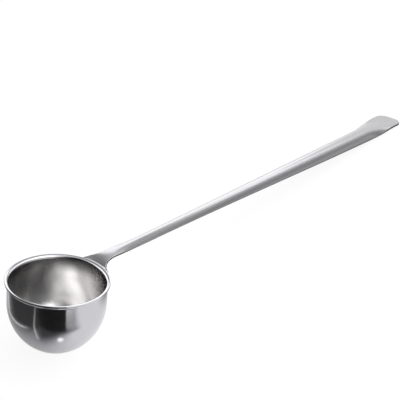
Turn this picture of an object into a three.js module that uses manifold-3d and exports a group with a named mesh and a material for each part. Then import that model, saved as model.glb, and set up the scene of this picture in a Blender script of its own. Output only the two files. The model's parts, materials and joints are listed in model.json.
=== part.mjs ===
// Long-handled coffee scoop: a deep-drawn steel bowl with a turned-out lip, and a handle pressed from one
// sheet of steel, whose fanned root bends down under the lip and is spot-welded to the bowl's wall.
// Millimetres, +Z up. The scoop lies as it does on a table, on the bowl's base and the handle's far end.
// The handle runs along +X, and the origin is the middle of the bottom of the box around the scoop.

import * as THREE from "three";
import { mergeVertices } from "three/addons/utils/BufferGeometryUtils.js";
import Module from "manifold-3d";

// Bowl. Depths are measured down from the top of the lip.
const LIP_DIAMETER = 42;
const LIP_OVERHANG = 1.05; // lip past the outside of the wall
const LIP_BEND_RADIUS = 0.9; // under the lip, where the wall turns out
const BOWL_SHEET = 0.8;
const BOWL_DEPTH = 30.6;
const STRAIGHT_WALL_DEPTH = 9.9; // where the wall starts to round into the bottom
const BASE_FLAT_DIAMETER = 10;

// Handle. Lengths are measured out from the lip, heights up from its top.
const HANDLE_SHEET = 1.2;
const HANDLE_LENGTH = 241.7;
const NECK_LENGTH = 10.5; // to the start of the straight shaft
const NECK_HEIGHT = 0.66; // of the crest, at the middle of the sheet
const SHAFT_RISE = THREE.MathUtils.degToRad(0.55);
const ARCH_ANGLE = THREE.MathUtils.degToRad(52); // slope of the sheet at the shaft's edges
const NECK_WIDTH = 6.2; // of the flat blank, before it is arched
const END_WIDTH = 14.5;
const END_EDGE_WIDTH = 4; // straight part of the far edge, between its round corners
const END_ROUND_LENGTH = 5.2;
const END_FLAT_LENGTH = 8.5;
const END_BLEND_LENGTH = 22.5; // from the arched shaft to the flat end
const END_DROP = 0.75; // of the flat end below the line of the crest

// Root of the handle, which follows the bowl's wall.
const ROOT_WIDTH = 16.4; // along the wall, just under the lip
const ROOT_FLARE_LENGTH = 7.8; // from the root's width to the neck's
const ROOT_FLARE_LEAD = 2.2; // of the flare's start before the end of the bend
const ROOT_ARCH_LENGTH = 26; // from the bend to where the shaft is fully arched
const ROOT_BEND_RADIUS = 3.8; // at the middle of the sheet
const FLANGE_HEIGHT = 6.2; // straight part below the bend
const FLANGE_TOE_WIDTH = 8; // straight part of the bottom edge, between its round corners
const FLANGE_ROUND_HEIGHT = 4.6;

// Spot welds, in a row along the middle of the flange.
const WELD_DIAMETER = 3;
const WELD_EDGE_MARGIN = 1.6; // from the root's side to the nearest spot
const WELD_SINK = 0.12; // of a spot's rim below the flange's outside
const WELD_DISH = 0.15; // of its middle below its rim
const SEAT_GAP = 0.3; // between pieces that bear on each other

// Numbers of facets.
const TURN_STEPS = 58; // sets corners at the bowl's sides, and flats towards the handle and away from it
const BOTTOM_STEPS = 12;
const BEND_STEPS = 5;
const ROUND_STEPS = 7;
const FLARE_STEPS = 10;
const SHAFT_STEPS = 8;
const BLEND_STEPS = 9;
const ACROSS_STEPS = 12;
const WELD_STEPS = 20;
const DISH_STEPS = 3;
const TILT_STEPS = 12; // of the search for the angle at which the scoop lies

const LIP_RADIUS = LIP_DIAMETER / 2;
const WALL_RADIUS = LIP_RADIUS - LIP_OVERHANG;
const FLANGE_RADIUS = WALL_RADIUS + SEAT_GAP + HANDLE_SHEET / 2;
const QUARTER_TURN = Math.PI / 2;
const PROBE = HANDLE_SHEET / 100; // step by which slopes are measured

const wasm = await Module();
wasm.setup();

// Eases from 0 to 1 as t goes from 0 to 1.
const ease = (t) => THREE.MathUtils.smoothstep(t, 0, 1);

// Values from one number to another, both included.
const spread = (from, to, steps) =>
  Array.from({ length: steps + 1 }, (_, step) => THREE.MathUtils.lerp(from, to, step / steps));

// Points on an upright elliptical arc, both ends included.
const arcPoints = (centre, radiusX, radiusY, from, to, steps) =>
  spread(from, to, steps).map(
    (angle) => new THREE.Vector2(radiusX * Math.cos(angle), radiusY * Math.sin(angle)).add(centre),
  );

// The bottom's half profile, from the edge of the flat base up to the straight wall.
function bottomPoints(inset) {
  const drop = BOWL_DEPTH - STRAIGHT_WALL_DEPTH;
  const roundHeight = drop / Math.sqrt(1 - (BASE_FLAT_DIAMETER / 2 / WALL_RADIUS) ** 2);
  const start = -Math.asin((drop - inset) / (roundHeight - inset));
  const centre = new THREE.Vector2(0, -STRAIGHT_WALL_DEPTH);
  return arcPoints(centre, WALL_RADIUS - inset, roundHeight - inset, start, 0, BOTTOM_STEPS);
}

// The bowl's half profile: from the base up the outside, over the lip and down the inside.
function bowlGeometry() {
  const bendCentre = new THREE.Vector2(WALL_RADIUS + LIP_BEND_RADIUS, -BOWL_SHEET - LIP_BEND_RADIUS);
  const insideBend = LIP_BEND_RADIUS + BOWL_SHEET;
  const profile = [
    new THREE.Vector2(0, -BOWL_DEPTH),
    ...bottomPoints(0),
    ...arcPoints(bendCentre, LIP_BEND_RADIUS, LIP_BEND_RADIUS, Math.PI, QUARTER_TURN, BEND_STEPS),
    new THREE.Vector2(LIP_RADIUS, -BOWL_SHEET),
    new THREE.Vector2(LIP_RADIUS, 0),
    ...arcPoints(bendCentre, insideBend, insideBend, QUARTER_TURN, Math.PI, BEND_STEPS),
    ...bottomPoints(BOWL_SHEET).reverse(),
    new THREE.Vector2(0, BOWL_SHEET - BOWL_DEPTH),
  ];
  return new THREE.LatheGeometry(profile, TURN_STEPS).rotateX(QUARTER_TURN);
}

// The middle of the handle's sheet along its crest, seen from the side: up the flange, round the bend that
// clears the lip, along a sweep that levels out at the neck, and straight out along the shaft.
function crestPath() {
  const bendReach = FLANGE_RADIUS + ROOT_BEND_RADIUS;
  const clearance = ROOT_BEND_RADIUS + HANDLE_SHEET / 2 + SEAT_GAP;
  const bendHeight = -BOWL_SHEET - Math.sqrt(clearance ** 2 - (bendReach - LIP_RADIUS) ** 2);
  const bendCentre = new THREE.Vector2(bendReach, bendHeight);
  const bendFoot = new THREE.Vector2(FLANGE_RADIUS, bendHeight);
  const toe = new THREE.Vector2(FLANGE_RADIUS, bendHeight - FLANGE_HEIGHT);

  const neck = new THREE.Vector2(LIP_RADIUS + NECK_LENGTH, NECK_HEIGHT);
  const end = new THREE.Vector2(
    LIP_RADIUS + HANDLE_LENGTH,
    NECK_HEIGHT + (HANDLE_LENGTH - NECK_LENGTH) * Math.tan(SHAFT_RISE),
  );
  const neckUp = new THREE.Vector2(-Math.sin(SHAFT_RISE), Math.cos(SHAFT_RISE));
  const offset = neck.clone().sub(bendCentre);
  const sweepRadius =
    (offset.lengthSq() - ROOT_BEND_RADIUS ** 2) / (2 * (offset.dot(neckUp) - ROOT_BEND_RADIUS));
  const sweepCentre = neck.clone().addScaledVector(neckUp, -sweepRadius);
  const meeting = bendCentre.clone().sub(sweepCentre).angle();

  const arc = (centre, radius, from, to) =>
    new THREE.EllipseCurve(centre.x, centre.y, radius, radius, from, to, true);
  const path = new THREE.CurvePath();
  path.add(new THREE.LineCurve(toe, bendFoot));
  path.add(arc(bendCentre, ROOT_BEND_RADIUS, Math.PI, meeting));
  path.add(arc(sweepCentre, sweepRadius, meeting, QUARTER_TURN + SHAFT_RISE));
  path.add(new THREE.LineCurve(neck, end));
  return path;
}

const crest = crestPath();
const [FLANGE_END, BEND_END, SWEEP_END, SHEET_END] = crest.getCurveLengths();
const FLARE_START = BEND_END - ROOT_FLARE_LEAD;
const FLARE_END = FLARE_START + ROOT_FLARE_LENGTH;
const FLAT_START = SHEET_END - END_FLAT_LENGTH;
const BLEND_START = FLAT_START - END_BLEND_LENGTH;

// How far the sheet has flattened, from 0 on the shaft to 1 on the end, at a length along the sheet.
const flattened = (length) => ease((length - BLEND_START) / END_BLEND_LENGTH);

// How far the root has lost its curve round the bowl, from 0 at the bend to 1 at the neck.
const straightened = (length) => ease((length - BEND_END) / (SWEEP_END - BEND_END));

// How far the shaft is arched, from 0 at the bend and on the flat end to 1 between them.
const arched = (length) => ease((length - BEND_END) / ROOT_ARCH_LENGTH) * (1 - flattened(length));

// Half the width of the blank's slow taper, from the neck to the far end.
const taperHalf = (length) =>
  THREE.MathUtils.lerp(NECK_WIDTH, END_WIDTH, ease((length - FLARE_END) / (SHEET_END - FLARE_END))) / 2;

// Half the blank's width: a toe with round corners, the root, a hollow flare, the taper and a round end.
function halfWidth(length) {
  if (length < FLANGE_ROUND_HEIGHT) {
    const round = Math.sqrt(1 - (1 - length / FLANGE_ROUND_HEIGHT) ** 2);
    return THREE.MathUtils.lerp(FLANGE_TOE_WIDTH, ROOT_WIDTH, round) / 2;
  }
  if (length < FLARE_END) {
    const along = 1 - Math.max(length - FLARE_START, 0) / ROOT_FLARE_LENGTH;
    return THREE.MathUtils.lerp(ROOT_WIDTH, NECK_WIDTH, Math.sqrt(1 - along ** 2)) / 2;
  }
  const past = Math.max(length - (SHEET_END - END_ROUND_LENGTH), 0) / END_ROUND_LENGTH;
  const corner = (END_WIDTH - END_EDGE_WIDTH) / 2;
  return taperHalf(length) - corner * (1 - Math.sqrt(Math.max(1 - past ** 2, 0)));
}

// A point on the middle of the sheet, at a length along it and a distance to the side of its crest. The
// root curves round the bowl's axis, and the shaft is arched down on either side of its crest.
function sheetPoint(length, side) {
  const place = crest.getPoint(length / SHEET_END);
  const slope = crest.getTangent(length / SHEET_END).angle();
  const wrap = (1 - straightened(length)) / place.x;
  const arch = (ARCH_ANGLE * arched(length)) / taperHalf(length);
  const bow = (curve) => (curve * side ** 2 * sinc((curve * side) / 2) ** 2) / 2;
  const drop = bow(arch);
  return new THREE.Vector3(
    place.x - bow(wrap) + drop * Math.sin(slope),
    side * sinc(wrap * side) * sinc(arch * side),
    place.y - drop * Math.cos(slope) - END_DROP * flattened(length),
  );
}

// The sine of an angle over the angle.
function sinc(angle) {
  return angle === 0 ? 1 : Math.sin(angle) / angle;
}

// The sheet's upward normal at the same place.
function sheetNormal(length, side) {
  const before = sheetPoint(Math.max(length - PROBE, 0), side);
  const after = sheetPoint(Math.min(length + PROBE, SHEET_END), side);
  const across = sheetPoint(length, side + PROBE).sub(sheetPoint(length, side - PROBE));
  return after.sub(before).cross(across).normalize();
}

// Lengths along the sheet at which it is built, closer together where its outline or surface turns.
function stationLengths() {
  const turn = spread(0, QUARTER_TURN, ROUND_STEPS);
  const flareTurn = spread(0, QUARTER_TURN, FLARE_STEPS);
  const lengths = [
    ...turn.map((angle) => FLANGE_ROUND_HEIGHT * (1 - Math.cos(angle))),
    ...spread(FLANGE_END, FLARE_START, BEND_STEPS),
    ...flareTurn.map((angle) => FLARE_START + ROOT_FLARE_LENGTH * (1 - Math.cos(angle))),
    ...spread(FLARE_END, BLEND_START, SHAFT_STEPS),
    ...spread(BLEND_START, FLAT_START, BLEND_STEPS),
    ...turn.map((angle) => SHEET_END - END_ROUND_LENGTH * (1 - Math.sin(angle))),
  ];
  lengths.sort((a, b) => a - b);
  return lengths.filter((length, index) => index === 0 || length - lengths[index - 1] > PROBE);
}

// The handle's blank, formed and given its thickness, as one closed mesh.
function sheetGeometry() {
  const lengths = stationLengths();
  const rowSize = ACROSS_STEPS + 1;
  const positions = [];
  for (const face of [1, -1]) {
    for (const length of lengths) {
      const half = halfWidth(length);
      for (const side of spread(-half, half, ACROSS_STEPS)) {
        const normal = sheetNormal(length, side);
        const point = sheetPoint(length, side).addScaledVector(normal, (face * HANDLE_SHEET) / 2);
        positions.push(...point.toArray());
      }
    }
  }

  const upper = (row, column) => row * rowSize + column;
  const lower = (row, column) => (lengths.length + row) * rowSize + column;
  const triangles = [];
  const quad = (a, b, c, d) => triangles.push(a, b, c, a, c, d);
  const lastRow = lengths.length - 1;
  const last = ACROSS_STEPS;
  for (let row = 0; row < lastRow; row += 1) {
    for (let column = 0; column < last; column += 1) {
      quad(upper(row, column), upper(row + 1, column), upper(row + 1, column + 1), upper(row, column + 1));
      quad(lower(row, column), lower(row, column + 1), lower(row + 1, column + 1), lower(row + 1, column));
    }
    quad(lower(row, 0), lower(row + 1, 0), upper(row + 1, 0), upper(row, 0));
    quad(upper(row, last), upper(row + 1, last), lower(row + 1, last), lower(row, last));
  }
  for (let column = 0; column < last; column += 1) {
    const next = column + 1;
    quad(upper(0, column), upper(0, next), lower(0, next), lower(0, column));
    quad(lower(lastRow, column), lower(lastRow, next), upper(lastRow, next), upper(lastRow, column));
  }

  const geometry = new THREE.BufferGeometry();
  geometry.setAttribute("position", new THREE.Float32BufferAttribute(positions, 3));
  geometry.setIndex(triangles);
  return geometry;
}

// Where the spot welds sit: the angle of each round the bowl's axis, from the handle's line.
const weldReach = ROOT_WIDTH / 2 - WELD_EDGE_MARGIN - WELD_DIAMETER / 2;
const weldAngles = { left: weldReach / FLANGE_RADIUS, centre: 0, right: -weldReach / FLANGE_RADIUS };
const weldHeight = crest.getPoint(FLANGE_END / 2 / SHEET_END).y;

// Turns a shape modelled round +Y so that it points straight out from the bowl's wall at a weld.
function pointOut(geometry, angle) {
  return geometry.rotateZ(-QUARTER_TURN).translate(FLANGE_RADIUS, 0, weldHeight).rotateZ(angle);
}

// A spot of fused metal through the flange, with the dished mark of the electrode on its outer end.
function weldGeometry(angle) {
  const radius = WELD_DIAMETER / 2;
  const bottom = -HANDLE_SHEET / 2;
  const rim = HANDLE_SHEET / 2 - WELD_SINK;
  const dish = spread(1, 0, DISH_STEPS).map(
    (share) => new THREE.Vector2(radius * share, rim - WELD_DISH * (1 - share ** 2)),
  );
  const profile = [new THREE.Vector2(0, bottom), new THREE.Vector2(radius, bottom), ...dish];
  return pointOut(new THREE.LatheGeometry(profile, WELD_STEPS), angle);
}

// The hole in the flange round a spot weld.
function weldHoleGeometry(angle) {
  const radius = WELD_DIAMETER / 2 + SEAT_GAP;
  return pointOut(new THREE.CylinderGeometry(radius, radius, 2 * HANDLE_SHEET, WELD_STEPS), angle);
}

function toSolid(geometry) {
  const bare = geometry.clone();
  bare.deleteAttribute("normal");
  bare.deleteAttribute("uv");
  const merged = mergeVertices(bare);
  const mesh = new wasm.Mesh({
    numProp: 3,
    vertProperties: new Float32Array(merged.attributes.position.array),
    triVerts: new Uint32Array(merged.index.array),
  });
  return new wasm.Manifold(mesh);
}

function handleGeometry() {
  let solid = toSolid(sheetGeometry());
  for (const angle of Object.values(weldAngles)) {
    solid = solid.subtract(toSolid(weldHoleGeometry(angle)));
  }
  const mesh = solid.getMesh();
  const geometry = new THREE.BufferGeometry();
  geometry.setAttribute("position", new THREE.BufferAttribute(mesh.vertProperties, mesh.numProp));
  geometry.setIndex(new THREE.BufferAttribute(mesh.triVerts, 1));
  geometry.computeVertexNormals();
  return geometry;
}

const polishedSteel = new THREE.MeshStandardMaterial({ color: 0xc8c8ca, roughness: 0.12, metalness: 1 });
const satinSteel = new THREE.MeshStandardMaterial({ color: 0xbfbfc1, roughness: 0.28, metalness: 1 });
const weldSteel = new THREE.MeshStandardMaterial({ color: 0xa3a19e, roughness: 0.45, metalness: 1 });

function namedMesh(name, geometry, material) {
  const mesh = new THREE.Mesh(geometry, material);
  mesh.name = name;
  return mesh;
}

// The lowest corner of a mesh once the scoop is tipped, handle down, by an angle.
function lowestPoint(mesh, tilt) {
  const corners = mesh.geometry.attributes.position;
  const lowest = new THREE.Vector3(0, 0, Infinity);
  const corner = new THREE.Vector3();
  const height = (point) => point.z * Math.cos(tilt) - point.x * Math.sin(tilt);
  for (let index = 0; index < corners.count; index += 1) {
    corner.fromBufferAttribute(corners, index);
    if (height(corner) < height(lowest)) {
      lowest.copy(corner);
    }
  }
  return lowest;
}

// The angle at which the bowl's base and the handle's far end touch the table together.
function restTilt(bowl, handle) {
  let tilt = 0;
  for (let step = 0; step < TILT_STEPS; step += 1) {
    const base = lowestPoint(bowl, tilt);
    const heel = lowestPoint(handle, tilt);
    tilt = Math.atan2(heel.z - base.z, heel.x - base.x);
  }
  return tilt;
}

const bowl = namedMesh("bowl", bowlGeometry(), polishedSteel);
const handle = namedMesh("handle", handleGeometry(), satinSteel);
const scoop = new THREE.Group();
scoop.add(bowl, handle);
for (const [place, angle] of Object.entries(weldAngles)) {
  scoop.add(namedMesh(`spot_weld_${place}`, weldGeometry(angle), weldSteel));
}
scoop.rotation.y = restTilt(bowl, handle);

const box = new THREE.Box3().setFromObject(scoop, true);
const middle = box.getCenter(new THREE.Vector3());
scoop.position.set(-middle.x, -middle.y, -box.min.z);

const part = new THREE.Group();
part.add(scoop);

export default part;
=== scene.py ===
"""A long-handled coffee scoop in stainless steel, dressed for a studio photograph.

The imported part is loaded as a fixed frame. Its bowl, handle and spot welds are modelled again here with
smooth surfaces and real finishes. The pieces' sizes are held in millimetres, and their meshes are made in
metres, in the frame's axes.
"""

from __future__ import annotations

import json
import logging
import math
from dataclasses import dataclass
from enum import Enum
from typing import Any, ClassVar, Iterable

import bpy
from mathutils import Matrix, Vector

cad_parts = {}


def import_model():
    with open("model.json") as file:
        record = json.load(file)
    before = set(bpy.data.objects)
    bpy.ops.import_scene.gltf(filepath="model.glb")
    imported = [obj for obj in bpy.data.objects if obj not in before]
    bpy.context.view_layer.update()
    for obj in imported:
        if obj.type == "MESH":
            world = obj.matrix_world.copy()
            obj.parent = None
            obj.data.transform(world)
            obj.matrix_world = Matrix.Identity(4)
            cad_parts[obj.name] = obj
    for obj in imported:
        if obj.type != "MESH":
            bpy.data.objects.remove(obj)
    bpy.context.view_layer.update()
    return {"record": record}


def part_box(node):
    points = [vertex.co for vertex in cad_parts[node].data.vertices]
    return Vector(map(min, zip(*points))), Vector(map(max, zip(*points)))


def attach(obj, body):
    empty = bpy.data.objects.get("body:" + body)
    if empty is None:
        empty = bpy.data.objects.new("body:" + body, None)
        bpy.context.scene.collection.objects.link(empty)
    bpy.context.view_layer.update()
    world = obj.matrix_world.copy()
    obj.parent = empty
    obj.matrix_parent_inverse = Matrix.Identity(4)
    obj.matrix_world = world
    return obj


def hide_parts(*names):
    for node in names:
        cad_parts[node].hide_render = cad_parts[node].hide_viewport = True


LOG = logging.getLogger("scoop")
MM = 0.001
BODY = "root"
WHITE = "FFFFFF"
# Points closer together than this are one point.
SAME_PLACE = MM / 1000
# Names of what the meshes carry for their materials.
TURNED_MAP = "turned"
HEAT = "heat"
LEVEL = "level"
COVER = "cover"
# A Mix node keeps its two colours and their mixture in the sockets with these numbers.
MIX_FIRST, MIX_SECOND, MIX_COLOUR = 6, 7, 2
PlanePoint = tuple[float, float]
SpacePoint = tuple[float, float, float]


def linear(hex_colour: str) -> tuple[float, float, float, float]:
    """Turns an sRGB hex colour into the linear one that Blender's sockets take.

    Args:
        hex_colour: Six hex digits, red first.

    Returns:
        Red, green and blue from 0 to 1, and an alpha of 1.
    """
    shares = [int(hex_colour[start : start + 2], 16) / 255 for start in (0, 2, 4)]
    red, green, blue = (
        share / 12.92 if share <= 0.04045 else ((share + 0.055) / 1.055) ** 2.4 for share in shares
    )
    return red, green, blue, 1.0


def add_node(
    tree: bpy.types.NodeTree, kind: str, links: dict[str | int, Any] | None = None, **settings: Any
) -> bpy.types.Node:
    """Adds a shader node, sets it up and wires its inputs.

    Args:
        tree: The node tree to add to.
        kind: The node's type name.
        links: Input names or numbers, each with an output socket to wire to it or a value to set on it.
        settings: Properties of the node itself.

    Returns:
        The new node.
    """
    node = tree.nodes.new(kind)
    for name, value in settings.items():
        setattr(node, name, value)
    for name, value in (links or {}).items():
        socket = node.inputs[name]
        if isinstance(value, bpy.types.NodeSocket):
            tree.links.new(value, socket)
        else:
            socket.default_value = value
    return node


def ease(share: float) -> float:
    """Eases from 0 to 1 as the share goes from 0 to 1, and stays there outside."""
    share = min(max(share, 0.0), 1.0)
    return share * share * (3 - 2 * share)


def mix(low: float, high: float, share: float) -> float:
    """The value a share of the way from one number to another."""
    return low + (high - low) * share


def spread(low: float, high: float, steps: int) -> list[float]:
    """Evenly spaced values from one number to another, both included."""
    return [mix(low, high, step / steps) for step in range(steps + 1)]


def sinc(angle: float) -> float:
    """The sine of an angle over the angle."""
    return math.sin(angle) / angle if angle else 1.0


def bow(curve: float, side: float) -> float:
    """How far an arc of a given curvature falls away at a distance along it."""
    return curve * side**2 * sinc(curve * side / 2) ** 2 / 2


def heading(sight: float, bearing: float, elevation: float) -> Vector:
    """A direction from the bowl.

    Args:
        sight: The direction of the line of sight round +Z.
        bearing: Degrees to the right of the line of sight.
        elevation: Degrees above the table.

    Returns:
        The direction, of length 1.
    """
    turn, rise = sight - math.radians(bearing), math.radians(elevation)
    return Vector((math.cos(turn) * math.cos(rise), math.sin(turn) * math.cos(rise), math.sin(rise)))


def arc(centre: PlanePoint, radii: PlanePoint, turn: PlanePoint, steps: int) -> list[PlanePoint]:
    """Points on an upright elliptical arc.

    Args:
        centre: The ellipse's centre.
        radii: Its half width and half height.
        turn: The first and last angle, in radians.
        steps: The number of chords.

    Returns:
        The points in order, both ends included.
    """
    return [
        (centre[0] + radii[0] * math.cos(angle), centre[1] + radii[1] * math.sin(angle))
        for angle in spread(turn[0], turn[1], steps)
    ]


def new_material(name: str) -> bpy.types.Material:
    """Adds a material with an empty node tree.

    Args:
        name: The material's name.

    Returns:
        The material.
    """
    material = bpy.data.materials.new(name)
    material.use_nodes = True
    material.node_tree.nodes.clear()
    return material


def deselect() -> None:
    """Leaves object mode with nothing selected, so that an operator reaches only the next piece."""
    if bpy.context.object and bpy.context.object.mode != "OBJECT":
        bpy.ops.object.mode_set(mode="OBJECT")
    bpy.ops.object.select_all(action="DESELECT")


def spin_profile(name: str, profile: list[PlanePoint], steps: int) -> bpy.types.Object:
    """Models a turned piece: draws half of its outline by extruding a vertex, and spins that round +Z.

    Args:
        name: The piece's name.
        profile: Radius and height of each point of the outline, in millimetres.
        steps: The number of facets round the axis.

    Returns:
        The piece, with its axis on +Z through the origin. It is closed where its outline ends on the axis.
    """
    deselect()
    bpy.ops.mesh.primitive_plane_add(size=MM)
    piece = bpy.context.object
    piece.name = name
    bpy.ops.object.mode_set(mode="EDIT")
    bpy.ops.mesh.select_all(action="SELECT")
    bpy.ops.mesh.merge(type="CENTER")
    bpy.ops.transform.translate(value=(profile[0][0] * MM, 0, profile[0][1] * MM))
    for before, after in zip(profile, profile[1:]):
        step = ((after[0] - before[0]) * MM, 0, (after[1] - before[1]) * MM)
        bpy.ops.mesh.extrude_region_move(TRANSFORM_OT_translate={"value": step})
    bpy.ops.mesh.select_all(action="SELECT")
    bpy.ops.mesh.spin(steps=steps, angle=math.tau, center=(0, 0, 0), axis=(0, 0, 1))
    bpy.ops.mesh.select_all(action="SELECT")
    bpy.ops.mesh.remove_doubles(threshold=SAME_PLACE)
    bpy.ops.mesh.normals_make_consistent(inside=False)
    bpy.ops.object.mode_set(mode="OBJECT")
    bpy.ops.object.shade_smooth()
    return piece


def settle(piece: bpy.types.Object, place: Matrix) -> None:
    """Moves a finished piece's mesh to its place, and leaves its object at the origin."""
    piece.data.transform(place)
    piece.data.update()


@dataclass(frozen=True)
class Placement:
    """Where the bowl's own frame lies: axis on +Z, handle along +X, and the lip's top at zero."""

    tilt: float
    origin: Vector

    @classmethod
    def from_base(cls, record: dict[str, Any], depth: float) -> Placement:
        """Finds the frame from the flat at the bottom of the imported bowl.

        Args:
            record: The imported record.
            depth: The bowl's outside depth.

        Returns:
            The bowl's frame.
        """
        base = next(mount for mount in record["mounts"] if mount["name"] == "bowl_base")
        down = Vector(base["axis"]).normalized()
        return cls(math.atan2(-down.x, -down.z), Vector(base["pos_m"]) - depth * MM * down)

    def matrix(self) -> Matrix:
        """The transform from the bowl's own frame to the part's."""
        return Matrix.Translation(self.origin) @ Matrix.Rotation(self.tilt, 4, "Y")


class Grain(Enum):
    """How the marks of a finish are laid out."""

    TURNED = "round the bowl's axis and from its lip to its base"
    STRAIGHT = "along the handle and across it"


@dataclass(frozen=True)
class SteelFinish:
    """A finish on stainless steel sheet. The sizes of its marks are in millimetres.

    Sheet for kitchen ware is 18/8 stainless steel, a grey metal with hardly any cast of its own. Buffing
    leaves fine lines, which draw reflections out across them, and pressing leaves a slight unevenness that
    bends them. The real lines are too fine to show, so they are drawn coarser. On a turned piece, the third
    of a mark's three sizes runs from the lip to the base.

    A finish with a lip shade colour takes it on towards the lip. This is painted shade, which darkens the
    colour where the inside lies in shade under the lip.
    The lip shade band is where that starts and where it is complete, each as the height over the lip's top
    plus the reach from the axis.
    """

    name: str
    colour: str
    cloud_colour: str
    roughness: float
    roughness_spread: float
    anisotropy: float
    grain: Grain
    line_size: SpacePoint
    line_depth: float
    wave_size: SpacePoint
    wave_depth: float
    cloud_size: SpacePoint = (14.0, 14.0, 14.0)
    heat_colour: str = ""
    lip_shade_colour: str = ""
    lip_shade_band: PlanePoint = (11.0, 18.0)
    line_detail: ClassVar[float] = 3.0
    wave_detail: ClassVar[float] = 1.0
    cloud_detail: ClassVar[float] = 4.0
    quarter_turn: ClassVar[float] = 0.25

    def layout(self, tree: bpy.types.NodeTree, placement: Placement) -> bpy.types.NodeSocket:
        """Adds the coordinates that the marks follow, in the bowl's frame.

        Args:
            tree: The material's node tree.
            placement: Where the bowl's frame lies.

        Returns:
            The coordinates, in metres.
        """
        place = add_node(tree, "ShaderNodeTexCoord").outputs["Object"]
        back = placement.matrix().inverted()
        moved = {"Vector": place, "Location": back.to_translation(), "Rotation": back.to_euler()}
        level = add_node(tree, "ShaderNodeMapping", moved).outputs["Vector"]
        if self.grain is Grain.STRAIGHT:
            return level
        axes = add_node(tree, "ShaderNodeSeparateXYZ", {"Vector": level}).outputs
        flat = add_node(tree, "ShaderNodeVectorMath", {0: level, 1: (1.0, 1.0, 0.0)}, operation="MULTIPLY")
        reach = add_node(tree, "ShaderNodeVectorMath", {0: flat.outputs["Vector"]}, operation="LENGTH")
        down = add_node(tree, "ShaderNodeMath", {0: axes["Z"], 1: reach.outputs["Value"]}, operation="ADD")
        turned = {"X": axes["X"], "Y": axes["Y"], "Z": down.outputs["Value"]}
        return add_node(tree, "ShaderNodeCombineXYZ", turned).outputs["Vector"]

    @staticmethod
    def marks(
        tree: bpy.types.NodeTree, coords: bpy.types.NodeSocket, size: SpacePoint, detail: float
    ) -> bpy.types.NodeSocket:
        """Adds noise whose marks have a given size along each axis.

        Args:
            tree: The material's node tree.
            coords: The coordinates that the marks follow.
            size: The marks' size along each axis, in millimetres.
            detail: How many finer layers the noise has.

        Returns:
            The noise, from 0 to 1.
        """
        scale = tuple(1 / (extent * MM) for extent in size)
        place = add_node(tree, "ShaderNodeMapping", {"Vector": coords, "Scale": scale}).outputs["Vector"]
        noise = add_node(tree, "ShaderNodeTexNoise", {"Vector": place, "Scale": 1.0, "Detail": detail})
        return noise.outputs["Fac"]

    def shade(self, tree: bpy.types.NodeTree, coords: bpy.types.NodeSocket) -> bpy.types.NodeSocket:
        """Adds the metal's colour: faintly clouded, darkened towards the lip by painted shade, and browned by
        the welds' heat.

        Args:
            tree: The material's node tree.
            coords: The coordinates that the marks follow.

        Returns:
            The colour.
        """
        clouds = self.marks(tree, coords, self.cloud_size, self.cloud_detail)
        tints_and_shade = [(clouds, self.cloud_colour)]
        # Painted shade: the colour darkens towards the lip, where the inside of the bowl lies in shade.
        if self.lip_shade_colour:
            rise = add_node(tree, "ShaderNodeSeparateXYZ", {"Vector": coords}).outputs["Z"]
            low, high = (height * MM for height in self.lip_shade_band)
            band = {"Value": rise, "From Min": low, "From Max": high}
            near_lip_shade = add_node(tree, "ShaderNodeMapRange", band, interpolation_type="SMOOTHSTEP")
            tints_and_shade.append((near_lip_shade.outputs["Result"], self.lip_shade_colour))
        if self.heat_colour:
            heat = add_node(tree, "ShaderNodeAttribute", attribute_name=HEAT).outputs["Fac"]
            tints_and_shade.append((heat, self.heat_colour))
        colour = linear(self.colour)
        for share, tint_or_shade in tints_and_shade:
            shades = {0: share, MIX_FIRST: colour, MIX_SECOND: linear(tint_or_shade)}
            colour = add_node(tree, "ShaderNodeMix", shades, data_type="RGBA").outputs[MIX_COLOUR]
        return colour

    def material(self, placement: Placement) -> bpy.types.Material:
        """Builds the finish as a material.

        Args:
            placement: Where the bowl's frame lies, which the marks are laid out in.

        Returns:
            The material.
        """
        material = new_material(self.name)
        tree = material.node_tree
        coords = self.layout(tree, placement)
        lines = self.marks(tree, coords, self.line_size, self.line_detail)
        waves = self.marks(tree, coords, self.wave_size, self.wave_detail)
        colour = self.shade(tree, coords)
        gloss_range = {
            "Value": lines,
            "To Min": self.roughness - self.roughness_spread,
            "To Max": self.roughness + self.roughness_spread,
        }
        gloss = add_node(tree, "ShaderNodeMapRange", gloss_range).outputs["Result"]
        bend = {"Height": waves, "Distance": self.wave_depth * MM, "Strength": 1.0}
        bent = add_node(tree, "ShaderNodeBump", bend).outputs["Normal"]
        score = {"Height": lines, "Distance": self.line_depth * MM, "Strength": 1.0, "Normal": bent}
        scored = add_node(tree, "ShaderNodeBump", score).outputs["Normal"]
        look = {"Base Color": colour, "Metallic": 1.0, "Roughness": gloss, "Normal": scored}
        metal = add_node(tree, "ShaderNodeBsdfPrincipled", look)
        if self.anisotropy:
            metal.inputs["Anisotropic"].default_value = self.anisotropy
            metal.inputs["Anisotropic Rotation"].default_value = self.quarter_turn
            round_way = add_node(tree, "ShaderNodeTangent", direction_type="UV_MAP", uv_map=TURNED_MAP)
            tree.links.new(round_way.outputs["Tangent"], metal.inputs["Tangent"])
        add_node(tree, "ShaderNodeOutputMaterial", {"Surface": metal.outputs["BSDF"]})
        return material


# Buffed to a mirror on a turning chuck: sharp reflections, drawn out a little from lip to base.
MIRROR_STEEL = SteelFinish(
    name="mirror_buffed_stainless_steel",
    colour="CDCCD0",
    cloud_colour="C6C5CA",
    roughness=0.14,
    roughness_spread=0.02,
    anisotropy=0.7,
    grain=Grain.TURNED,
    line_size=(20.0, 20.0, 0.5),
    line_depth=0.0004,
    wave_size=(3.5, 3.5, 30.0),
    wave_depth=0.0025,
)
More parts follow.
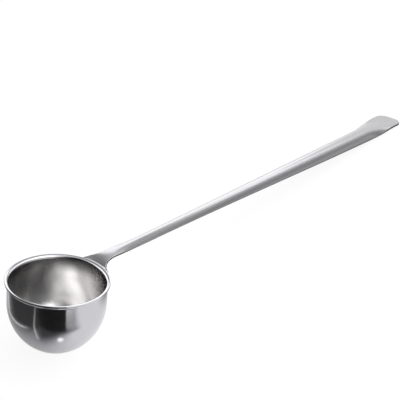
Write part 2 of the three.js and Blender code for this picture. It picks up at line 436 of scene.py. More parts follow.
# Left satin by the drawing press and a soft brush: broad, soft reflections, and a band of painted shade under
# the lip.
SATIN_STEEL = SteelFinish(
    name="satin_brushed_stainless_steel",
    colour="D3D2D2",
    cloud_colour="CCCBCA",
    roughness=0.21,
    roughness_spread=0.03,
    anisotropy=0.3,
    grain=Grain.TURNED,
    line_size=(1.6, 1.6, 14.0),
    line_depth=0.0015,
    wave_size=(5.0, 5.0, 22.0),
    wave_depth=0.008,
    cloud_size=(4.0, 4.0, 9.0),
    # Painted shade: this dark grey is the shade under the lip, painted into the colour.
    lip_shade_colour="6A6969",
)
# Tumbled after pressing: bright, with faint lines along the handle.
HANDLE_STEEL = SteelFinish(
    name="tumbled_stainless_steel",
    colour="C0BFC2",
    cloud_colour="B8B7BB",
    roughness=0.17,
    roughness_spread=0.03,
    anisotropy=0.0,
    grain=Grain.STRAIGHT,
    line_size=(25.0, 0.6, 0.6),
    line_depth=0.0015,
    wave_size=(14.0, 9.0, 9.0),
    wave_depth=0.010,
    heat_colour="B9A37E",
)
# Fused under the electrode: dull and slightly browned.
WELD_STEEL = SteelFinish(
    name="spot_welded_stainless_steel",
    colour="B3ADA6",
    cloud_colour="9C938B",
    roughness=0.38,
    roughness_spread=0.08,
    anisotropy=0.0,
    grain=Grain.STRAIGHT,
    line_size=(0.25, 0.25, 0.25),
    line_depth=0.004,
    wave_size=(1.5, 1.5, 1.5),
    wave_depth=0.01,
    cloud_size=(1.0, 1.0, 1.0),
)


@dataclass
class Bowl:
    """The deep-drawn bowl: a round bottom with a small flat, a straight wall and a turned-out lip."""

    lip_diameter: float
    lip_overhang: float = 1.05
    lip_bend_radius: float = 0.9
    lip_fillet: float = 1.5
    lip_edge_round: float = 0.12
    sheet: float = 0.8
    depth: float = 30.6
    straight_wall_depth: float = 9.9
    base_flat_diameter: float = 10.0
    base_blend: float = 1.2
    polished_lip_depth: float = 0.7
    lip_edge_squareness: float = 3.0
    bottom_rings: int = 44
    blend_rings: int = 6
    fillet_rings: int = 12
    lip_edge_rings: int = 12
    lip_bend_rings: int = 14
    facets: int = 240

    @property
    def lip_radius(self) -> float:
        """The lip's radius."""
        return self.lip_diameter / 2

    @property
    def wall_radius(self) -> float:
        """The outside radius of the straight wall."""
        return self.lip_radius - self.lip_overhang

    def bottom(self, inset: float) -> list[PlanePoint]:
        """Half of the round bottom, from its middle up to the straight wall.

        Args:
            inset: How far the curve lies inside the bowl's outer skin.

        Returns:
            Radius and height of each point.
        """
        drop = self.depth - self.straight_wall_depth
        flat = self.base_flat_diameter / 2
        height = drop / math.sqrt(1 - (flat / self.wall_radius) ** 2)
        radii = (self.wall_radius - inset, height - inset)
        start = -math.asin((drop - inset) / radii[1])
        edge = radii[0] * math.cos(start)
        blend_end = -math.acos((edge + self.base_blend) / radii[0])
        floor = inset - self.depth
        centre = (0.0, -self.straight_wall_depth)
        wall = arc(centre, radii, (blend_end, 0.0), self.bottom_rings)
        blend = []
        for share in spread(0.0, 1.0, self.blend_rings)[:-1]:
            first, second, third = (1 - share) ** 2, 2 * share * (1 - share), share**2
            reach = first * (edge - self.base_blend) + second * edge + third * wall[0][0]
            blend.append((reach, first * floor + second * floor + third * wall[0][1]))
        return [(0.0, floor), *blend, *wall]

    def lip_edge(self) -> list[PlanePoint]:
        """The lip's tumbled edge, from its underside to its top.

        Returns:
            Radius and height of each point.
        """
        start = self.lip_radius - self.lip_edge_round
        half = self.sheet / 2
        power = 2 / self.lip_edge_squareness
        points = []
        for angle in spread(-math.pi / 2, math.pi / 2, self.lip_edge_rings):
            reach = abs(math.cos(angle)) ** power
            rise = math.copysign(abs(math.sin(angle)) ** power, angle)
            points.append((start + self.lip_edge_round * reach, half * (rise - 1)))
        return points

    def profile(self) -> list[PlanePoint]:
        """Half of the bowl's section: from the base up the outside, over the lip and down the inside.

        Returns:
            Radius and height of each point.
        """
        bend_centre = (self.wall_radius + self.lip_bend_radius, -self.sheet - self.lip_bend_radius)
        inner_bend = self.lip_bend_radius + self.sheet
        edge_start = self.lip_radius - self.lip_edge_round
        fillet_end = math.acos((edge_start - self.wall_radius) / self.lip_fillet - 1)
        fillet_height = -self.sheet - self.lip_fillet * math.sin(fillet_end)
        fillet_centre = (self.wall_radius + self.lip_fillet, fillet_height)
        inner_start = math.acos((edge_start - bend_centre[0]) / inner_bend)
        return [
            *self.bottom(0.0),
            *arc(fillet_centre, (self.lip_fillet,) * 2, (math.pi, fillet_end), self.fillet_rings)[:-1],
            *self.lip_edge(),
            *arc(bend_centre, (inner_bend,) * 2, (inner_start, math.pi), self.lip_bend_rings)[1:],
            *reversed(self.bottom(self.sheet)),
        ]

    def build(self, placement: Placement) -> bpy.types.Object:
        """Spins the bowl and sets it in its place.

        Args:
            placement: Where the bowl's frame lies.

        Returns:
            The bowl.
        """
        bowl = spin_profile("scoop_bowl", self.profile(), self.facets)
        self.lay_out(bowl.data)
        self.dress(bowl, placement)
        settle(bowl, placement.matrix())
        return bowl

    def lay_out(self, mesh: bpy.types.Mesh) -> None:
        """Gives the bowl a map in metres: how far a place lies round the wall, and how near to the lip.

        Args:
            mesh: The bowl's mesh, in its own frame.
        """
        layer = mesh.uv_layers.new(name=TURNED_MAP)
        radius = self.wall_radius * MM
        off_axis = radius / 1000
        for face in mesh.polygons:
            middle = math.atan2(-face.center.y, -face.center.x)
            for loop in face.loop_indices:
                place = mesh.vertices[mesh.loops[loop].vertex_index].co
                reach = math.hypot(place.x, place.y)
                angle = math.atan2(-place.y, -place.x) if reach > off_axis else middle
                turn = (angle - middle + math.pi) % math.tau - math.pi
                layer.uv[loop].vector = ((middle + turn) * radius, place.z + reach)

    def dress(self, bowl: bpy.types.Object, placement: Placement) -> None:
        """Gives the bowl its two finishes: a mirror outside and over the lip, and satin inside.

        Args:
            bowl: The bowl, in its own frame.
            placement: Where that frame lies.
        """
        bowl.data.materials.append(MIRROR_STEEL.material(placement))
        bowl.data.materials.append(SATIN_STEEL.material(placement))
        # Seen from this point on the axis, the inside's faces look this way and the outside's look away.
        heart = Vector((0.0, 0.0, (self.sheet / 2 - self.wall_radius) * MM))
        for face in bowl.data.polygons:
            below_lip = face.center.z < -self.polished_lip_depth * MM
            inward = face.normal @ (face.center - heart) < 0
            face.material_index = int(below_lip and inward)


@dataclass
class Handle:
    """The pressed handle: a flange on the bowl's wall, a fanned root, an arched shaft and a flat end."""

    bowl: Bowl
    sheet: float = 1.2
    length: float = 241.7
    neck_length: float = 10.5
    neck_height: float = 0.66
    rise: float = math.radians(0.55)
    arch_angle: float = math.radians(52)
    neck_width: float = 6.2
    end_width: float = 14.5
    end_edge_width: float = 4.0
    end_round_length: float = 5.2
    end_flat_length: float = 8.5
    end_blend_length: float = 22.5
    end_drop: float = 0.75
    root_width: float = 16.4
    flare_length: float = 7.8
    flare_lead: float = 2.2
    root_arch_length: float = 26.0
    bend_radius: float = 3.8
    flange_height: float = 6.2
    toe_width: float = 8.0
    toe_round_height: float = 4.6
    seat_gap: float = 0.3
    edge_round: float = 0.4
    weld_edge_margin: float = 1.6
    weld_dent_flat: float = 0.9
    weld_dent_reach: float = 2.2
    weld_heat: float = 0.6
    weld_heat_reach: float = 4.5
    lanes: int = 26
    edge_lanes: int = 5

    def __post_init__(self) -> None:
        """Works out the crest line: up the flange, round the bend, along the sweep and out on the shaft."""
        self.flange_radius = self.bowl.wall_radius + self.seat_gap + self.sheet / 2
        reach = self.flange_radius + self.bend_radius
        clearance = self.bend_radius + self.sheet / 2 + self.seat_gap
        height = -self.bowl.sheet - math.sqrt(clearance**2 - (reach - self.bowl.lip_radius) ** 2)
        self.bend_centre = Vector((reach, height))
        self.neck = Vector((self.bowl.lip_radius + self.neck_length, self.neck_height))
        up = Vector((-math.sin(self.rise), math.cos(self.rise)))
        offset = self.neck - self.bend_centre
        spare = offset @ up - self.bend_radius
        self.sweep_radius = (offset.length_squared - self.bend_radius**2) / (2 * spare)
        self.sweep_centre = self.neck - up * self.sweep_radius
        joint = self.bend_centre - self.sweep_centre
        self.meeting = math.atan2(joint.y, joint.x)
        sweep_turn = self.meeting - (math.pi / 2 + self.rise)
        self.flange_end = self.flange_height
        self.bend_end = self.flange_end + self.bend_radius * (math.pi - self.meeting)
        self.sweep_end = self.bend_end + self.sweep_radius * sweep_turn
        self.sheet_end = self.sweep_end + (self.length - self.neck_length) / math.cos(self.rise)
        self.flare_start = self.bend_end - self.flare_lead
        self.flare_end = self.flare_start + self.flare_length
        side = self.root_width / 2 - self.weld_edge_margin - SpotWeld.radius
        self.welds = {"left": side, "centre": 0.0, "right": -side}

    def weld_distance(self, length: float, side: float) -> float:
        """How far a point of the blank lies from the nearest spot weld's middle."""
        return min(math.hypot(length - self.flange_end / 2, side - weld) for weld in self.welds.values())

    def crest(self, length: float) -> tuple[Vector, float]:
        """Follows the crest line.

        Args:
            length: How far along the sheet, from the flange's toe.

        Returns:
            Reach and height of the place there, and the line's slope.
        """
        if length < self.flange_end:
            return Vector((self.flange_radius, self.bend_centre.y - self.flange_end + length)), math.pi / 2
        if length < self.bend_end:
            angle = math.pi - (length - self.flange_end) / self.bend_radius
            centre, radius = self.bend_centre, self.bend_radius
        elif length < self.sweep_end:
            angle = self.meeting - (length - self.bend_end) / self.sweep_radius
            centre, radius = self.sweep_centre, self.sweep_radius
        else:
            along = length - self.sweep_end
            return self.neck + Vector((math.cos(self.rise), math.sin(self.rise))) * along, self.rise
        return centre + Vector((math.cos(angle), math.sin(angle))) * radius, angle - math.pi / 2

    def flattened(self, length: float) -> float:
        """How far the sheet has flattened: 0 on the shaft and 1 on the end."""
        start = self.sheet_end - self.end_flat_length - self.end_blend_length
        return ease((length - start) / self.end_blend_length)

    def taper_half(self, length: float) -> float:
        """Half the width of the blank's slow taper from the neck to the end."""
        share = ease((length - self.flare_end) / (self.sheet_end - self.flare_end))
        return mix(self.neck_width, self.end_width, share) / 2

    def half_width(self, length: float) -> float:
        """Half the blank's width: a round-cornered toe, the root, a hollow flare, a taper and a round end.

        Args:
            length: How far along the blank, from the flange's toe.

        Returns:
            Half the width there.
        """
        if length < self.toe_round_height:
            share = 1 - length / self.toe_round_height
            return mix(self.toe_width, self.root_width, math.sqrt(1 - share**2)) / 2
        if length < self.flare_end:
            share = 1 - max(length - self.flare_start, 0.0) / self.flare_length
            return mix(self.root_width, self.neck_width, math.sqrt(1 - share**2)) / 2
        past = max(length - (self.sheet_end - self.end_round_length), 0.0) / self.end_round_length
        corner = (self.end_width - self.end_edge_width) / 2
        return self.taper_half(length) - corner * (1 - math.sqrt(max(1 - past**2, 0.0)))

    def pressed(self, length: float, side: float) -> Vector:
        """Where a point of the flat blank lies once it is pressed, at the middle of the sheet.

        Args:
            length: How far along the blank, from the flange's toe.
            side: How far to the side of its crest.

        Returns:
            The point in the bowl's frame, in millimetres.
        """
        place, slope = self.crest(length)
        straightened = ease((length - self.bend_end) / (self.sweep_end - self.bend_end))
        arched = ease((length - self.bend_end) / self.root_arch_length) * (1 - self.flattened(length))
        wrap = (1 - straightened) / place.x
        arch = self.arch_angle * arched / self.taper_half(length)
        beyond = self.weld_distance(length, side) - self.weld_dent_flat
        dent = self.seat_gap * (1 - ease(beyond / (self.weld_dent_reach - self.weld_dent_flat)))
        drop = bow(arch, side) - dent
        return Vector(
            (
                place.x - bow(wrap, side) + drop * math.sin(slope),
                side * sinc(wrap * side) * sinc(arch * side),
                place.y - drop * math.cos(slope) - self.end_drop * self.flattened(length),
            )
        )

    def rows(self) -> list[float]:
        """Lengths of the blank's rows, close together at its ends and wherever it bends.

        Returns:
            How far each row lies along the blank, from the flange's toe.
        """
        rim = [self.edge_round * (1 - math.cos(angle)) for angle in spread(0.0, math.pi / 2, self.edge_lanes)]
        flat_start = self.sheet_end - self.end_flat_length
        # The end of each stretch of the blank, and how many rows it has
        stretches = (
            (self.flange_end, 22),
            (self.flare_start, 14),
            (self.flare_end, 34),
            (self.sweep_end + self.root_arch_length, 34),
            (flat_start - self.end_blend_length, 70),
            (self.sheet_end - self.end_round_length, 36),
            (self.sheet_end - self.edge_round, 26),
        )
        rows = rim[:-1]
        start = rim[-1]
        for end, count in stretches:
            rows += spread(start, end, count)[:-1]
            start = end
        return [*rows, *(self.sheet_end - inset for inset in reversed(rim))]

    def columns(self) -> list[tuple[float, float]]:
        """The blank's columns: each a share of the width inside the rounded rim, and a share of the rim.

        Returns:
            The columns, from the right edge to the left one.
        """
        rim = [1 - math.cos(angle) for angle in spread(0.0, math.pi / 2, self.edge_lanes)][:-1]
        inside = [(share, 0.0) for share in spread(-1.0, 1.0, 2 * self.lanes)]
        right = [(-1.0, share - 1.0) for share in rim]
        left = [(1.0, 1.0 - share) for share in reversed(rim)]
        return [*right, *inside, *left]

    def edge_distance(self, length: float, side: float) -> float:
        """How far a point of the flat blank lies from the blank's outline.

        Args:
            length: How far along the blank, from the flange's toe.
            side: How far to the side of its crest.

        Returns:
            The distance, 0 at the least.
        """
        probe = self.sheet / 100
        low, high = max(length - probe, 0.0), min(length + probe, self.sheet_end)
        slope = (self.half_width(high) - self.half_width(low)) / (high - low)
        across = (self.half_width(length) - abs(side)) / math.hypot(1.0, slope)
        return max(min(length, self.sheet_end - length, across), 0.0)

    def thickness(self, length: float, side: float) -> float:
        """The share of the sheet's thickness that the tumbled edges leave at a point of the blank.

        Args:
            length: How far along the blank, from the flange's toe.
            side: How far to the side of its crest.

        Returns:
            The share, which is 1 away from the edges.
        """
        inset = min(self.edge_distance(length, side), self.edge_round)
        cut = self.edge_round - math.sqrt(self.edge_round**2 - (self.edge_round - inset) ** 2)
        return 1 - 2 * cut / self.sheet

    def build(self, placement: Placement) -> bpy.types.Object:
        """Cuts the flat blank, presses it, gives it its thickness and sets it in its place.

        Args:
            placement: Where the bowl's frame lies.

        Returns:
            The handle.
        """
        rows, columns = self.rows(), self.columns()
        deselect()
        bpy.ops.mesh.primitive_grid_add(
            x_subdivisions=len(rows) - 1, y_subdivisions=len(columns) - 1, size=2.0, calc_uvs=False
        )
        handle = bpy.context.object
        handle.name = "scoop_handle"
        full = handle.vertex_groups.new(name="thickness")
        heat = []
        for vertex in handle.data.vertices:
            length = rows[round((vertex.co.x + 1) / 2 * (len(rows) - 1))]
            share, rim = columns[round((vertex.co.y + 1) / 2 * (len(columns) - 1))]
            half = self.half_width(length)
            side = share * (half - self.edge_round) + rim * self.edge_round
            full.add([vertex.index], self.thickness(length, side), "REPLACE")
            near_weld = 1 - ease(self.weld_distance(length, side) / self.weld_heat_reach)
            heat.append(self.weld_heat * near_weld)
            vertex.co = self.pressed(length, side) * MM
        handle.data.attributes.new(HEAT, "FLOAT", "POINT").data.foreach_set("value", heat)
        wall = handle.modifiers.new("sheet", "SOLIDIFY")
        wall.thickness = self.sheet * MM
        wall.offset = 0.0
        wall.vertex_group = full.name
        bpy.ops.object.modifier_apply(modifier=wall.name)
        handle.vertex_groups.clear()
        bpy.ops.object.shade_smooth()
        handle.data.materials.append(HANDLE_STEEL.material(placement))
        settle(handle, placement.matrix())
        return handle


@dataclass(frozen=True)
class SpotWeld:
    """A spot weld in the flange: a round dish that the electrode's tip left, with a low rim."""

    handle: Handle
    name: str
    side: float
    radius: ClassVar[float] = 1.5
    rim_height: float = 0.48
    dish: float = 0.15
    rim_round: float = 0.06
    root_taper: PlanePoint = (0.3, 0.2)
    rim_rings: int = 5
    dish_rings: int = 12
    facets: int = 48

    def profile(self) -> list[PlanePoint]:
        """Half of the weld's section, from inside the sheet out to the rim and in over the dish.

        Returns:
            Radius and height of each point.
        """
        rim = arc(
            (self.radius - self.rim_round, self.rim_height - self.rim_round),
            (self.rim_round, self.rim_round),
            (0.0, math.pi / 2),
            self.rim_rings,
        )
        inside = self.radius - self.rim_round
        dish = [
            (inside * share, self.rim_height - self.dish * (1 - share**2))
            for share in spread(1.0, 0.0, self.dish_rings)[1:]
        ]
        width, height = self.root_taper
        return [(0.0, 0.0), (self.radius - width, 0.0), (self.radius, height), *rim, *dish]

    def build(self, placement: Placement) -> bpy.types.Object:
        """Spins the weld, points it straight out from the wall and sets it in its place.

        Args:
            placement: Where the bowl's frame lies.

        Returns:
            The weld.
        """
        weld = spin_profile(f"scoop_weld_{self.name}", self.profile(), self.facets)
        weld.data.materials.append(WELD_STEEL.material(placement))
        angle = self.side / self.handle.flange_radius
        height = self.handle.bend_centre.y - self.handle.flange_height / 2
        seat = Matrix.Translation(Vector((self.handle.flange_radius, 0.0, height)) * MM)
        outward = Matrix.Rotation(math.pi / 2, 4, "Y")
        settle(weld, placement.matrix() @ Matrix.Rotation(angle, 4, "Z") @ seat @ outward)
        return weld


@dataclass(frozen=True)
class StudioCamera:
    """The camera, where the photograph was taken from. Places are in metres, in the part's frame."""

    place: SpacePoint = (-0.36114, -0.26792, 0.28388)
    aim: SpacePoint = (0.0029, 0.0274, 0.0)
    roll: float = math.radians(0.5)
    focal_length: float = 99.0
    sensor_width: float = 36.0

    def build(self) -> bpy.types.Object:
        """Adds the camera and makes it the scene's own.

        Returns:
            The camera.
        """
        bpy.ops.object.camera_add(location=self.place)
        camera = bpy.context.object
        camera.name = "studio_camera"
        look = Vector(self.aim) - Vector(self.place)
        turn = look.to_track_quat("-Z", "Y").to_matrix() @ Matrix.Rotation(self.roll, 3, "Z")
        camera.rotation_euler = turn.to_euler()
        camera.data.lens = self.focal_length
        camera.data.sensor_width = self.sensor_width
        bpy.context.scene.camera = camera
        return camera


def show_to_steel(card: bpy.types.Object) -> None:
    """Sets a card up so that only the steel mirrors it: the camera sees neither it nor a shadow of it.

    Args:
        card: The card to set up.
    """
    card.visible_camera = False
    card.visible_diffuse = False
    card.visible_shadow = False


def glow_where_solid(
    tree: bpy.types.NodeTree, cover: bpy.types.NodeSocket, level: float | bpy.types.NodeSocket
) -> None:
    """Completes a card's material: it glows where its cover is 1, and can be seen through where that is 0.

    Args:
        tree: The material's node tree.
        cover: How solid the card is.
        level: The strength of its glow, or a socket that gives it.
    """
    clear = add_node(tree, "ShaderNodeBsdfTransparent").outputs["BSDF"]
    lit = add_node(tree, "ShaderNodeEmission", {"Strength": level}).outputs["Emission"]
    blend = add_node(tree, "ShaderNodeMixShader", {0: cover, 1: clear, 2: lit}).outputs["Shader"]
    add_node(tree, "ShaderNodeOutputMaterial", {"Surface": blend})


@dataclass(frozen=True)
class Card:
    """A studio card that the steel mirrors, and that fades out towards its edges. Sizes are in metres."""

    name: str
    size: PlanePoint
    level: float
    softness: PlanePoint

    def place(self, sight: float) -> Matrix:
        """Where the card is.

        Args:
            sight: The direction of the line of sight round +Z.

        Returns:
            The card's place and turn, in the part's frame.
        """
        raise NotImplementedError

    def build(self, sight: float) -> bpy.types.Object:
        """Adds the card to the scene.

        Args:
            sight: The direction of the line of sight round +Z.

        Returns:
            The card.
        """
        deselect()
        bpy.ops.mesh.primitive_plane_add(size=1.0)
        card = bpy.context.object
        card.name = f"card_{self.name}"
        card.matrix_world = self.place(sight) @ Matrix.Diagonal((*self.size, 1.0, 1.0))
        card.data.materials.append(self.material())
        show_to_steel(card)
        return card

    def material(self) -> bpy.types.Material:
        """A plain card of one level, which fades out towards its edges.

        Returns:
            The material.
        """
        material = new_material(f"card_{self.name}")
        tree = material.node_tree
        place = add_node(tree, "ShaderNodeTexCoord").outputs["Object"]
        axes = add_node(tree, "ShaderNodeSeparateXYZ", {"Vector": place})
        # Before it is scaled, the card is 1 wide and 1 high.
        edge = 0.5
        fades = []
        for axis, extent, softness in zip(("X", "Y"), self.size, self.softness):
            away = add_node(tree, "ShaderNodeMath", {0: axes.outputs[axis]}, operation="ABSOLUTE").outputs[0]
            limits = {"Value": away, "From Min": edge, "From Max": edge - min(softness / extent, edge)}
            fade = add_node(tree, "ShaderNodeMapRange", limits, interpolation_type="SMOOTHSTEP")
            fades.append(fade.outputs["Result"])
        both = {0: fades[0], 1: fades[1]}
        cover = add_node(tree, "ShaderNodeMath", both, operation="MULTIPLY").outputs[0]
        glow_where_solid(tree, cover, self.level)
        return material


@dataclass(frozen=True)
class HungCard(Card):
    """A card that hangs facing a centre, which is the bowl if nothing else is said.

    Its bearing is to the right of the line of sight and its elevation above the table, both in degrees.
    """

    bearing: float
    elevation: float
    distance: float
    centre: SpacePoint = (-0.121, 0.0, 0.03)

    def place(self, sight: float) -> Matrix:
        """Hangs the card and turns it to face its centre.

        Args:
            sight: The direction of the line of sight round +Z.

        Returns:
            The card's place and turn, in the part's frame.
        """
        out = heading(sight, self.bearing, self.elevation)
        turn = (-out).to_track_quat("Z", "Y").to_matrix().to_4x4()
        return Matrix.Translation(Vector(self.centre) + out * self.distance) @ turn


@dataclass(frozen=True)
class TableCard(Card):
    """A card that lies on the table, turned by an angle in degrees. Each has its own lift over the table."""

    middle: PlanePoint
    lift: float
    turn: float = 0.0

    def place(self, sight: float) -> Matrix:
        """Lays the card flat."""
        turned = Matrix.Rotation(math.radians(self.turn), 4, "Z")
        return Matrix.Translation((*self.middle, self.lift)) @ turned


@dataclass(frozen=True)
class Collar:
    """A lit collar over the bowl's mouth that shines only inwards, into the bowl. Sizes are in millimetres.

    Each stop is a bearing to the right of the line of sight, in degrees, and the collar's level there. The
    collar fades out towards the first and the last of them, and towards its top.
    """

    radius: float = 18.5
    lift: float = 0.3
    height: float = 50.0
    top_fade: float = 20.0
    end_fade: float = 25.0
    rows: int = 10
    facets: int = 120
    name: ClassVar[str] = "card_collar"
    stops: tuple[PlanePoint, ...] = (
        (-65.0, 0.02),
        (-45.0, 0.20),
        (-22.0, 1.60),
        (15.0, 1.85),
        (40.0, 1.70),
        (65.0, 2.45),
        (100.0, 3.20),
        (145.0, 3.20),
        (178.0, 1.80),
    )

    def level(self, bearing: float) -> float:
        """The collar's level at a bearing.

        Args:
            bearing: Degrees to the right of the line of sight.

        Returns:
            The level, which is 0 beyond the stops.
        """
        for (start, low), (end, high) in zip(self.stops, self.stops[1:]):
            if start <= bearing <= end:
                return mix(low, high, ease((bearing - start) / (end - start)))
        return 0.0

    def cover(self, bearing: float, height: float) -> float:
        """How solid the collar is at a bearing and a height over the lip: from 1 to 0 at its ends and top.

        Args:
            bearing: Degrees to the right of the line of sight.
            height: Millimetres over the lip's top.

        Returns:
            How solid it is there.
        """
        start, end = self.stops[0][0], self.stops[-1][0]
        sides = ease((bearing - start) / self.end_fade) * ease((end - bearing) / self.end_fade)
        return sides * ease((self.lift + self.height - height) / self.top_fade)

    def build(self, placement: Placement, sight: float) -> bpy.types.Object:
        """Spins the collar and stands it on the bowl's mouth.

        Args:
            placement: Where the bowl's frame lies.
            sight: The direction of the line of sight round +Z.

        Returns:
            The collar.
        """
        side = [(self.radius, height) for height in spread(self.lift, self.lift + self.height, self.rows)]
        collar = spin_profile(self.name, side, self.facets)
        levels, covers = [], []
        for vertex in collar.data.vertices:
            turn = sight - math.atan2(vertex.co.y, vertex.co.x)
            bearing = (math.degrees(turn) - self.stops[0][0]) % 360 + self.stops[0][0]
            levels.append(self.level(bearing))
            covers.append(self.cover(bearing, vertex.co.z / MM))
        collar.data.attributes.new(LEVEL, "FLOAT", "POINT").data.foreach_set("value", levels)
        collar.data.attributes.new(COVER, "FLOAT", "POINT").data.foreach_set("value", covers)
        collar.data.materials.append(self.material())
        settle(collar, placement.matrix())
        show_to_steel(collar)
        return collar

    def material(self) -> bpy.types.Material:
        """A glow on the inner face alone, as strong and as solid as the collar's own values say.

        Returns:
            The material.
        """
        material = new_material(self.name)
        tree = material.node_tree
        level = add_node(tree, "ShaderNodeAttribute", attribute_name=LEVEL).outputs["Fac"]
        cover = add_node(tree, "ShaderNodeAttribute", attribute_name=COVER).outputs["Fac"]
        inner = add_node(tree, "ShaderNodeNewGeometry").outputs["Backfacing"]
        shown = add_node(tree, "ShaderNodeMath", {0: cover, 1: inner}, operation="MULTIPLY").outputs[0]
        glow_where_solid(tree, shown, level)
        return material


@dataclass(frozen=True)
class Table:
    """The white table top, wide enough to have no edge in any view.

    It shows white and keeps a share of the shadows that fall on it: one for the camera and one for the steel.
    """

    width: float = 6.0
    shadow_share: float = 0.14
    mirrored_shadow_share: float = 0.6
    white_level: float = 1.04

    def build(self) -> bpy.types.Object:
        """Lays the table top at the height that the scoop rests at.

        Returns:
            The table top.
        """
        deselect()
        bpy.ops.mesh.primitive_plane_add(size=self.width)
        table = bpy.context.object
        table.name = "table_top"
        material = new_material("white_table")
        tree = material.node_tree
        paint = add_node(tree, "ShaderNodeBsdfDiffuse", {"Color": linear(WHITE)}).outputs["BSDF"]
        glow = add_node(tree, "ShaderNodeEmission", {"Strength": self.white_level}).outputs["Emission"]
        path = add_node(tree, "ShaderNodeLightPath").outputs
        seen = {0: path["Is Camera Ray"], 1: 1 - self.shadow_share}
        seen_white = add_node(tree, "ShaderNodeMath", seen, operation="MULTIPLY").outputs[0]
        mirrored = {0: path["Is Glossy Ray"], 1: 1 - self.mirrored_shadow_share, 2: seen_white}
        white = add_node(tree, "ShaderNodeMath", mirrored, operation="MULTIPLY_ADD").outputs[0]
        top = add_node(tree, "ShaderNodeMixShader", {0: white, 1: paint, 2: glow}).outputs["Shader"]
        add_node(tree, "ShaderNodeOutputMaterial", {"Surface": top})
        table.data.materials.append(material)
        return table


@dataclass(frozen=True)
class Room:
    """The room round the table: it shows white, and its light grows evenly from a dim side to a bright one.

    The two levels average to a little under plain white. The reach is the cosine of the angle from the bright
    side's direction, and from the opposite one, at which each level is met.
    """

    bright_bearing: float = 75.0
    dim_level: float = 0.05
    bright_level: float = 1.85
    reach: float = 0.6

    def build(self, sight: float) -> bpy.types.World:
        """Makes the room and gives it to the scene.

        Args:
            sight: The direction of the line of sight round +Z.

        Returns:
            The room.
        """
        world = bpy.data.worlds.new("white_room")
        world.use_nodes = True
        tree = world.node_tree
        tree.nodes.clear()
        way = add_node(tree, "ShaderNodeTexCoord").outputs["Generated"]
        bright = {0: way, 1: heading(sight, self.bright_bearing, 0.0)}
        facing = add_node(tree, "ShaderNodeVectorMath", bright, operation="DOT_PRODUCT").outputs["Value"]
        growth = {
            "Value": facing,
            "From Min": -self.reach,
            "From Max": self.reach,
            "To Min": self.dim_level,
            "To Max": self.bright_level,
        }
        lit = add_node(tree, "ShaderNodeMapRange", growth).outputs["Result"]
        path = add_node(tree, "ShaderNodeLightPath").outputs
        seen = {0: path["Is Camera Ray"], 1: path["Is Transmission Ray"]}
        shown = add_node(tree, "ShaderNodeMath", seen, operation="MAXIMUM").outputs[0]
        level = add_node(tree, "ShaderNodeMix", {0: shown, 2: lit, 3: 1.0}, data_type="FLOAT").outputs[0]
        glow = {"Color": linear(WHITE), "Strength": level}
        light = add_node(tree, "ShaderNodeBackground", glow).outputs["Background"]
        add_node(tree, "ShaderNodeOutputWorld", {"Surface": light})
        bpy.context.scene.world = world
        return world


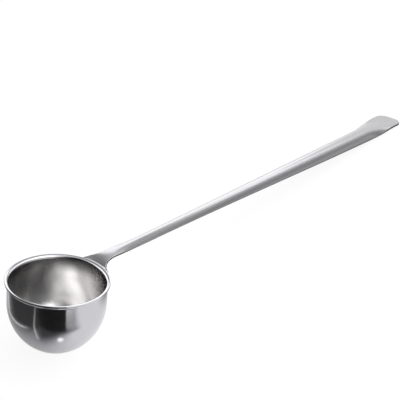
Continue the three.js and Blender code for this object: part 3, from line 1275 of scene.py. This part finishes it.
HANDLE_TIP = (0.135, 0.0, 0.02)
CARDS = (
    # Lights for the bowl, then the pale wall behind the scoop
    HungCard(
        "key", size=(0.46, 0.46), level=2.8, softness=(0.20, 0.20),
        bearing=108, elevation=48, distance=0.26,
    ),
    HungCard(
        "bowl_light", size=(0.064, 0.046), level=2.4, softness=(0.014, 0.010),
        bearing=75, elevation=30, distance=0.055,
    ),
    HungCard(
        "backdrop", size=(4.0, 2.6), level=1.7, softness=(0.6, 0.5),
        bearing=5, elevation=12, distance=3.0,
    ),
    # Greys and darks that shade the handle, the lip and the bowl's inside, and a few paler patches
    HungCard(
        "grey_side", size=(5.2, 2.3), level=0.34, softness=(1.8, 0.3),
        bearing=70, elevation=17.5, distance=2.2,
    ),
    HungCard(
        "grey_low", size=(2.6, 0.52), level=0.55, softness=(0.5, 0.24),
        bearing=58, elevation=20, distance=2.05,
    ),
    HungCard(
        "tip_grey", size=(0.22, 0.20), level=1.0, softness=(0.06, 0.05),
        bearing=14, elevation=10, distance=0.25, centre=HANDLE_TIP,
    ),
    HungCard(
        "grey_back", size=(2.4, 1.5), level=0.33, softness=(0.4, 0.3),
        bearing=-16, elevation=47, distance=2.1,
    ),
    HungCard(
        "grey_top", size=(1.8, 1.5), level=0.52, softness=(0.5, 0.33),
        bearing=25, elevation=50, distance=1.9,
    ),
    HungCard(
        "left_flag", size=(0.8, 0.7), level=0.25, softness=(0.15, 0.15),
        bearing=-22, elevation=22, distance=1.9,
    ),
    HungCard(
        "left_low", size=(3.4, 0.50), level=0.45, softness=(0.3, 0.14),
        bearing=-115, elevation=13, distance=1.0,
    ),
    HungCard(
        "glint", size=(0.40, 0.26), level=2.0, softness=(0.08, 0.08),
        bearing=-48, elevation=5, distance=1.2,
    ),
    HungCard(
        "top_flag", size=(1.6, 1.4), level=0.03, softness=(0.3, 0.3),
        bearing=-125, elevation=46, distance=1.2,
    ),
    # Darks on the table that the bowl's outside mirrors, with a grey edge, a pale spot and two pale strips
    TableCard(
        "front", size=(0.30, 0.30), level=0.012, softness=(0.003, 0.006),
        middle=(-0.3420, -0.0985), turn=-27.7, lift=0.0006,
    ),
    TableCard(
        "left", size=(0.32, 0.56), level=0.05, softness=(0.060, 0.03),
        middle=(-0.2376, 0.1346), turn=-20, lift=0.0003,
    ),
    TableCard(
        "front_edge", size=(0.050, 0.034), level=0.42, softness=(0.012, 0.008),
        middle=(-0.146, -0.046), turn=-27.7, lift=0.0002,
    ),
    TableCard(
        "front_near", size=(0.060, 0.056), level=0.06, softness=(0.022, 0.014),
        middle=(-0.1613, -0.0283), turn=12.5, lift=0.0005,
    ),
    TableCard(
        "spot", size=(0.009, 0.009), level=2.0, softness=(0.0045, 0.0045),
        middle=(-0.140, -0.022), lift=0.0008,
    ),
    TableCard(
        "strip_along", size=(0.052, 0.005), level=0.6, softness=(0.004, 0.0025),
        middle=(-0.1725, -0.0028), turn=-5, lift=0.0009,
    ),
    TableCard(
        "strip_left", size=(0.005, 0.080), level=1.3, softness=(0.0025, 0.020),
        middle=(-0.147, 0.0348), turn=-35, lift=0.0010,
    ),
    # A dark on the table that the handle's side mirrors
    TableCard(
        "handle_side", size=(0.25, 0.062), level=0.06, softness=(0.02, 0.006),
        middle=(0.035, -0.019), lift=0.0004,
    ),
)


def main() -> None:
    """Builds the scoop's pieces, dresses them and sets up the studio."""
    logging.basicConfig(level=logging.INFO, format="%(name)s: %(message)s")
    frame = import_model()
    low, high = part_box("bowl")
    bowl = Bowl(lip_diameter=(high.y - low.y) / MM)
    handle = Handle(bowl)
    placement = Placement.from_base(frame["record"], bowl.depth)
    welds = [SpotWeld(handle, name, side) for name, side in handle.welds.items()]
    pieces = [
        (bowl.build(placement), "bowl", "polished_steel"),
        (handle.build(placement), "handle", "handle_steel"),
        *((weld.build(placement), f"spot_weld_{weld.name}", "weld_steel") for weld in welds),
    ]
    for piece, node, slot in pieces:
        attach(piece, BODY)
        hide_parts(node)
        LOG.info("%s: %d faces", piece.name, len(piece.data.polygons))
    camera = StudioCamera()
    camera.build()
    look = Vector(camera.aim) - Vector(camera.place)
    sight = math.atan2(look.y, look.x)
    for card in CARDS:
        card.build(sight)
    Collar().build(placement, sight)
    Table().build()
    Room().build(sight)
    bpy.context.scene.view_settings.view_transform = "Standard"


if __name__ == "__main__":
    main()
